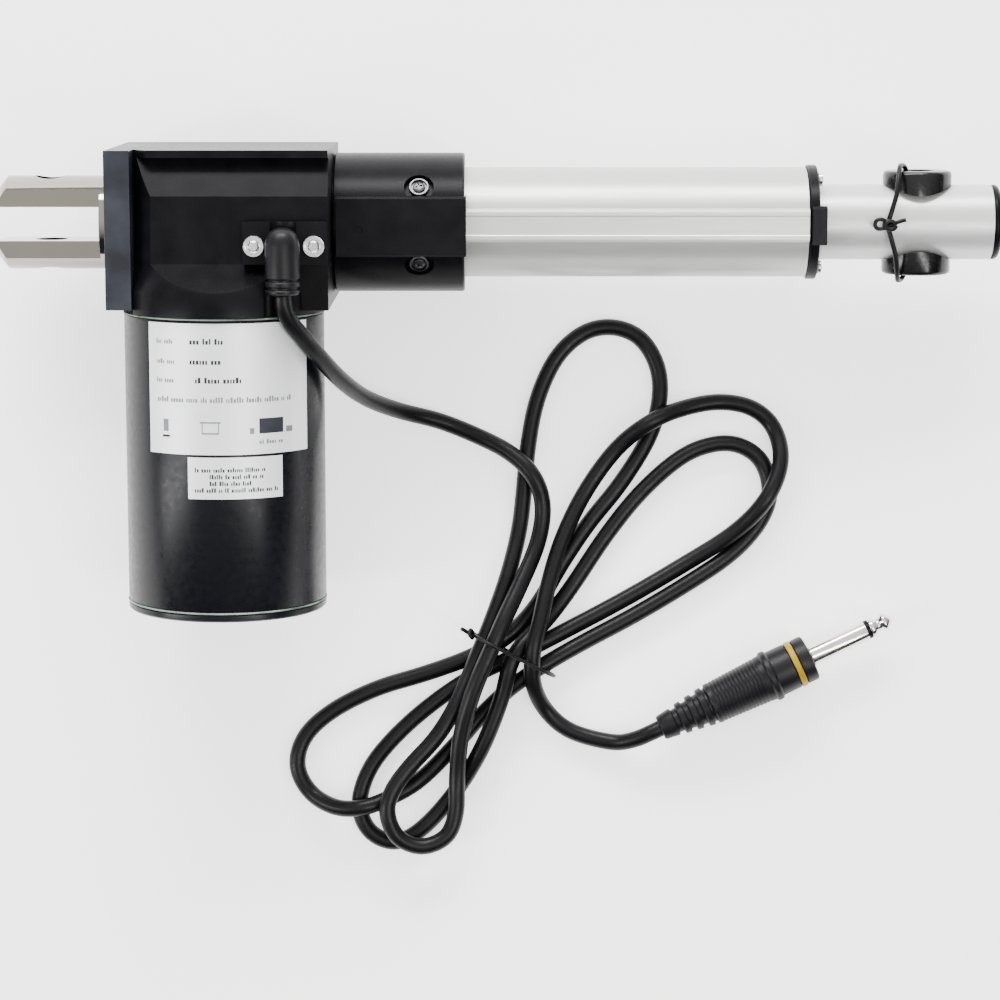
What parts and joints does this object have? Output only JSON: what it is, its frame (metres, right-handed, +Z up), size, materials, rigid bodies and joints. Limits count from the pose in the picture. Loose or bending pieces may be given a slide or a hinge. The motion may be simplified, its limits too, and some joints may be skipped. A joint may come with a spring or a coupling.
{
  "type": "linear actuator",
  "caption": "Electric linear actuator: side motor, worm gear and leadscrew push a pinned tube out of a ribbed outer tube; lead with a jack plug lies tied in loops.",
  "frame": {"origin": "middle of the actuator's bounding box, without its lead, at the surface it lies on", "axes": "+X from the rear clevis to the rod end, +Z up from the table, -Y towards the motor's end"},
  "size_m": [0.3202, 0.2332, 0.0833],
  "materials": {
    "black_nylon": "semi-gloss fine texture",
    "bush_black": "gloss",
    "chrome": "polished",
    "nickel": "polished",
    "screw_steel": "bright",
    "bearing_steel": "ground",
    "spindle_steel": "rolled",
    "bronze": "machined",
    "tube_aluminium": "satin anodised",
    "rod_aluminium": "matt anodised",
    "white_acetal": "moulded",
    "rubber_black": "satin",
    "gasket": "matt",
    "motor_paint": "gloss",
    "ferrite": "matt",
    "lamination": "stacked",
    "copper": "wound",
    "carbon": "matt",
    "phenolic": "matt",
    "board": "satin",
    "switch_case": "satin",
    "cord_pvc": "satin",
    "tie_black": "satin",
    "yellow": "satin"
  },
  "bodies": {
    "housing": {"brush_holder": "phenolic", "brush_left": "carbon", "brush_right": "carbon", "cable_boot": "rubber_black", "collar_gasket": "gasket", "cord_tie": "tie_black", "cover_screw_1": "screw_steel", "cover_screw_2": "screw_steel", "cover_screw_3": "screw_steel", "cover_screw_4": "screw_steel", "end_gasket": "gasket", "front_ring": "black_nylon", "gearbox_housing": "black_nylon", "gland_plate": "black_nylon", "gland_screw_1": "screw_steel", "gland_screw_2": "screw_steel", "jack_sleeve": "nickel", "jack_tip": "nickel", "limit_switch_front": "switch_case", "limit_switch_rear": "switch_case", "magnet_left": "ferrite", "magnet_right": "ferrite", "motor_can": "motor_paint", "motor_end_cap": "motor_paint", "motor_front_plate": "bearing_steel", "outer_tube": "tube_aluminium", "plug_body": "rubber_black", "plug_ring": "yellow", "power_cord": "cord_pvc", "rear_bush": "bronze", "rear_clevis": "chrome", "rear_cover": "black_nylon", "ring_screw_1": "screw_steel", "ring_screw_2": "screw_steel", "ring_screw_3": "screw_steel", "ring_screw_4": "screw_steel", "rod_guide_bush": "white_acetal", "rotor_bearing_front": "bearing_steel", "rotor_bearing_rear": "bearing_steel", "socket_screw_1": "screw_steel", "socket_screw_2": "screw_steel", "spindle_bearing": "bearing_steel", "switch_strip": "board", "tube_socket": "black_nylon", "wiper_seal": "rubber_black", "worm_tip_bush": "bronze"},
    "rotor": {"worm_shaft": "spindle_steel", "armature_core": "lamination", "winding_front": "copper", "winding_rear": "copper", "commutator": "copper"},
    "spindle": {"lead_screw": "spindle_steel", "worm_wheel": "bronze", "end_stop_washer": "bearing_steel"},
    "rod": {"inner_tube": "rod_aluminium", "drive_nut": "white_acetal", "front_bush_upper": "bush_black", "front_bush_lower": "bush_black", "rod_end_cap": "black_nylon", "wire_tie": "tie_black"}
  },
  "joints": [
    {"name": "motor_spin", "type": "hinge", "parent": "housing", "child": "rotor", "pos_m": [-0.0871, -0.02277, 0.03901], "axis": [0, -0.988, -0.1548], "range_deg": [0, 183615]},
    {"name": "spindle_spin", "type": "hinge", "parent": "housing", "child": "spindle", "pos_m": [0.0059, 0.04979, 0.02811], "axis": [-1, 0, 0], "range_deg": [0, 6120.5]},
    {"name": "rod_slide", "type": "slide", "parent": "housing", "child": "rod", "axis": [1, 0, 0], "range_m": [0, 0.102]}
  ],
  "couplings": [
    {"joint": "motor_spin", "follows": "rod_slide", "rad_per_m": 31416},
    {"joint": "spindle_spin", "follows": "rod_slide", "rad_per_m": 1047.2}
  ]
}
